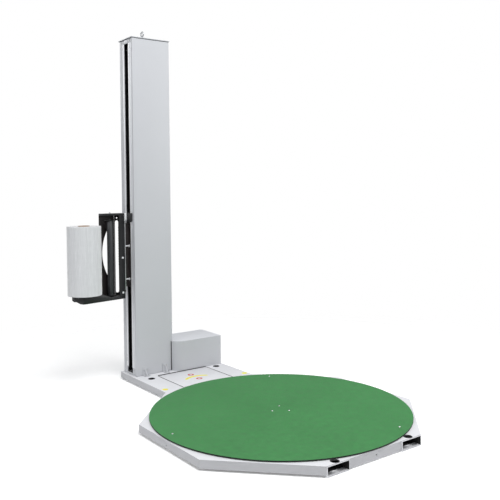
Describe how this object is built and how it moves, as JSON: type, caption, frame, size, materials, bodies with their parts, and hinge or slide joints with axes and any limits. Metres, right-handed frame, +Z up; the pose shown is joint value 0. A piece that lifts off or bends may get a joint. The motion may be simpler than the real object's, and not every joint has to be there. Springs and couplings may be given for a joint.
{
  "type": "turntable pallet wrapper",
  "caption": "Low turntable pallet wrapper with an octagonal forklift base, a tall slotted column, a film carriage that rides up it, a film roll and a drive cover.",
  "frame": {"origin": "on the floor at the turntable's axis", "axes": "+Z up; +Y from the turntable to the column; +X to the right seen from the turntable's side, so the film carriage is on the column's -X side"},
  "size_m": [1.684, 2.4443, 2.6888],
  "materials": {
    "deck_paint": "satin powder coat",
    "frame_paint": "satin powder coat",
    "column_paint": "satin powder coat",
    "panel_paint": "satin powder coat",
    "table_paint": "textured green paint",
    "carriage_paint": "satin black powder coat",
    "zinc_steel": "zinc plated",
    "motor_paint": "painted casting",
    "roller_rubber": "matte",
    "belt_rubber": "matte, toothed",
    "wheel_plastic": "matte",
    "stretch_film": "clear stretch film wound tight",
    "cardboard": "raw brown board",
    "black_plastic": "moulded",
    "red_plastic": "moulded",
    "green_plastic": "moulded",
    "board_parts": "mixed electrical parts on a plate"
  },
  "bodies": {
    "base": {"base_frame": "frame_paint", "fork_pocket_left": "frame_paint", "fork_pocket_right": "frame_paint", "outrigger_left": "frame_paint", "outrigger_right": "frame_paint", "base_deck": "deck_paint", "neck_deck": "deck_paint", "neck_cover_plate": "deck_paint", "hub_bearing": "zinc_steel", "turntable_gearmotor": "motor_paint", "turntable_chain": "zinc_steel", "motor_cover": "panel_paint", "column_profile": "column_paint", "column_lip_front": "column_paint", "column_lip_rear": "column_paint", "column_slot_head": "column_paint", "column_slot_foot": "column_paint", "column_front_panel": "panel_paint", "column_cap": "column_paint", "eye_bolt": "zinc_steel", "foot_bracket_left": "column_paint", "foot_bracket_right": "column_paint", "guide_rail_front": "zinc_steel", "guide_rail_rear": "zinc_steel", "lift_gearmotor": "motor_paint", "top_pulley_bracket": "zinc_steel", "lift_belt": "belt_rubber", "cabinet_box": "column_paint", "control_board": "board_parts"},
    "turntable": {"turntable_disc": "table_paint", "turntable_hub": "zinc_steel"},
    "sprocket": {"drive_sprocket": "zinc_steel"},
    "support_wheel_1": {"support_wheel_1": "wheel_plastic"},
    "support_wheel_2": {"support_wheel_2": "wheel_plastic"},
    "support_wheel_3": {"support_wheel_3": "wheel_plastic"},
    "support_wheel_4": {"support_wheel_4": "wheel_plastic"},
    "support_wheel_5": {"support_wheel_5": "wheel_plastic"},
    "support_wheel_6": {"support_wheel_6": "wheel_plastic"},
    "support_wheel_7": {"support_wheel_7": "wheel_plastic"},
    "support_wheel_8": {"support_wheel_8": "wheel_plastic"},
    "carriage": {"trolley": "carriage_paint", "carriage_frame": "carriage_paint", "carriage_panel": "carriage_paint"},
    "guide_wheel_1": {"guide_wheel_1": "wheel_plastic"},
    "guide_wheel_2": {"guide_wheel_2": "wheel_plastic"},
    "guide_wheel_3": {"guide_wheel_3": "wheel_plastic"},
    "guide_wheel_4": {"guide_wheel_4": "wheel_plastic"},
    "lift_pulley_bottom": {"lift_pulley_bottom": "zinc_steel"},
    "lift_pulley_top": {"lift_pulley_top": "zinc_steel"},
    "spindle": {"core_spindle": "black_plastic"},
    "film_roll": {"cardboard_core": "cardboard", "stretch_film": "stretch_film"},
    "idler": {"idler_roller": "roller_rubber"},
    "brake_knob": {"brake_knob": "black_plastic"},
    "door": {"cabinet_door": "column_paint"},
    "main_switch": {"main_switch": "red_plastic"},
    "emergency_stop": {"emergency_stop": "red_plastic"},
    "start_button": {"start_button": "green_plastic"},
    "stop_button": {"stop_button": "red_plastic"},
    "speed_knob": {"speed_knob": "black_plastic"}
  },
  "joints": [
    {"name": "turntable_spin", "type": "hinge", "parent": "base", "child": "turntable", "pos_m": [0, 0, 0.06], "axis": [0, 0, 1], "continuous": true},
    {"name": "sprocket_spin", "type": "hinge", "parent": "base", "child": "sprocket", "pos_m": [0.06, 1.36, 0.043], "axis": [0, 0, 1], "continuous": true},
    {"name": "support_wheel_1_spin", "type": "hinge", "parent": "base", "child": "support_wheel_1", "pos_m": [0.7, 0, 0.0407], "axis": [1, 0, 0], "continuous": true},
    {"name": "support_wheel_2_spin", "type": "hinge", "parent": "base", "child": "support_wheel_2", "pos_m": [0.49497, 0.49497, 0.0407], "axis": [0.7071, 0.7071, 0], "continuous": true},
    {"name": "support_wheel_3_spin", "type": "hinge", "parent": "base", "child": "support_wheel_3", "pos_m": [0, 0.7, 0.0407], "axis": [0, 1, 0], "continuous": true},
    {"name": "support_wheel_4_spin", "type": "hinge", "parent": "base", "child": "support_wheel_4", "pos_m": [-0.49497, 0.49497, 0.0407], "axis": [-0.7071, 0.7071, 0], "continuous": true},
    {"name": "support_wheel_5_spin", "type": "hinge", "parent": "base", "child": "support_wheel_5", "pos_m": [-0.7, 0, 0.0407], "axis": [-1, 0, 0], "continuous": true},
    {"name": "support_wheel_6_spin", "type": "hinge", "parent": "base", "child": "support_wheel_6", "pos_m": [-0.49497, -0.49497, 0.0407], "axis": [-0.7071, -0.7071, 0], "continuous": true},
    {"name": "support_wheel_7_spin", "type": "hinge", "parent": "base", "child": "support_wheel_7", "pos_m": [0, -0.7, 0.0407], "axis": [0, -1, 0], "continuous": true},
    {"name": "support_wheel_8_spin", "type": "hinge", "parent": "base", "child": "support_wheel_8", "pos_m": [0.49497, -0.49497, 0.0407], "axis": [0.7071, -0.7071, 0], "continuous": true},
    {"name": "carriage_lift", "type": "slide", "parent": "base", "child": "carriage", "axis": [0, 0, 1], "range_m": [-0.55, 1.24]},
    {"name": "guide_wheel_1_spin", "type": "hinge", "parent": "carriage", "child": "guide_wheel_1", "pos_m": [-0.3225, 1.339, 0.77], "axis": [0, 1, 0], "continuous": true},
    {"name": "guide_wheel_2_spin", "type": "hinge", "parent": "carriage", "child": "guide_wheel_2", "pos_m": [-0.3225, 1.434, 0.77], "axis": [0, 1, 0], "continuous": true},
    {"name": "guide_wheel_3_spin", "type": "hinge", "parent": "carriage", "child": "guide_wheel_3", "pos_m": [-0.3225, 1.339, 1.19], "axis": [0, 1, 0], "continuous": true},
    {"name": "guide_wheel_4_spin", "type": "hinge", "parent": "carriage", "child": "guide_wheel_4", "pos_m": [-0.3225, 1.434, 1.19], "axis": [0, 1, 0], "continuous": true},
    {"name": "lift_pulley_bottom_spin", "type": "hinge", "parent": "base", "child": "lift_pulley_bottom", "pos_m": [-0.25, 1.3865, 0.18], "axis": [1, 0, 0], "continuous": true},
    {"name": "lift_pulley_top_spin", "type": "hinge", "parent": "base", "child": "lift_pulley_top", "pos_m": [-0.25, 1.3865, 2.48], "axis": [1, 0, 0], "continuous": true},
    {"name": "spindle_spin", "type": "hinge", "parent": "carriage", "child": "spindle", "pos_m": [-0.731, 1.34, 0.704], "axis": [0, 0, 1], "continuous": true},
    {"name": "film_roll_lift_off", "type": "slide", "parent": "spindle", "child": "film_roll", "axis": [0, 0, 1], "range_m": [0, 0.31]},
    {"name": "idler_spin", "type": "hinge", "parent": "carriage", "child": "idler", "pos_m": [-0.502, 1.394, 0.97], "axis": [0, 0, 1], "continuous": true},
    {"name": "brake_knob_turn", "type": "hinge", "parent": "carriage", "child": "brake_knob", "pos_m": [-0.731, 1.34, 0.668], "axis": [0, 0, 1], "range_deg": [0, 270]},
    {"name": "door_hinge", "type": "hinge", "parent": "base", "child": "door", "pos_m": [-0.06, 1.5943, 1.25], "axis": [0, 0, -1], "range_deg": [0, 110]},
    {"name": "main_switch_turn", "type": "hinge", "parent": "door", "child": "main_switch", "pos_m": [-0.18, 1.594, 1.14], "axis": [0, 1, 0], "range_deg": [0, 90]},
    {"name": "emergency_stop_push", "type": "slide", "parent": "door", "child": "emergency_stop", "axis": [0, -1, 0], "range_m": [0, 0.006]},
    {"name": "start_button_push", "type": "slide", "parent": "door", "child": "start_button", "axis": [0, -1, 0], "range_m": [0, 0.004], "stiffness_N_per_m": 400},
    {"name": "stop_button_push", "type": "slide", "parent": "door", "child": "stop_button", "axis": [0, -1, 0], "range_m": [0, 0.004], "stiffness_N_per_m": 400},
    {"name": "speed_knob_turn", "type": "hinge", "parent": "door", "child": "speed_knob", "pos_m": [-0.18, 1.594, 1.4], "axis": [0, 1, 0], "range_deg": [-135, 135]}
  ],
  "couplings": [
    {"joint": "sprocket_spin", "follows": "turntable_spin", "ratio": 3.25},
    {"joint": "support_wheel_1_spin", "follows": "turntable_spin", "ratio": -31.39},
    {"joint": "support_wheel_2_spin", "follows": "turntable_spin", "ratio": -31.39},
    {"joint": "support_wheel_3_spin", "follows": "turntable_spin", "ratio": -31.39},
    {"joint": "support_wheel_4_spin", "follows": "turntable_spin", "ratio": -31.39},
    {"joint": "support_wheel_5_spin", "follows": "turntable_spin", "ratio": -31.39},
    {"joint": "support_wheel_6_spin", "follows": "turntable_spin", "ratio": -31.39},
    {"joint": "support_wheel_7_spin", "follows": "turntable_spin", "ratio": -31.39},
    {"joint": "support_wheel_8_spin", "follows": "turntable_spin", "ratio": -31.39},
    {"joint": "guide_wheel_1_spin", "follows": "carriage_lift", "rad_per_m": -35.088},
    {"joint": "guide_wheel_2_spin", "follows": "carriage_lift", "rad_per_m": -35.088},
    {"joint": "guide_wheel_3_spin", "follows": "carriage_lift", "rad_per_m": -35.088},
    {"joint": "guide_wheel_4_spin", "follows": "carriage_lift", "rad_per_m": -35.088},
    {"joint": "lift_pulley_bottom_spin", "follows": "carriage_lift", "rad_per_m": 42.017},
    {"joint": "lift_pulley_top_spin", "follows": "carriage_lift", "rad_per_m": 42.017}
  ]
}
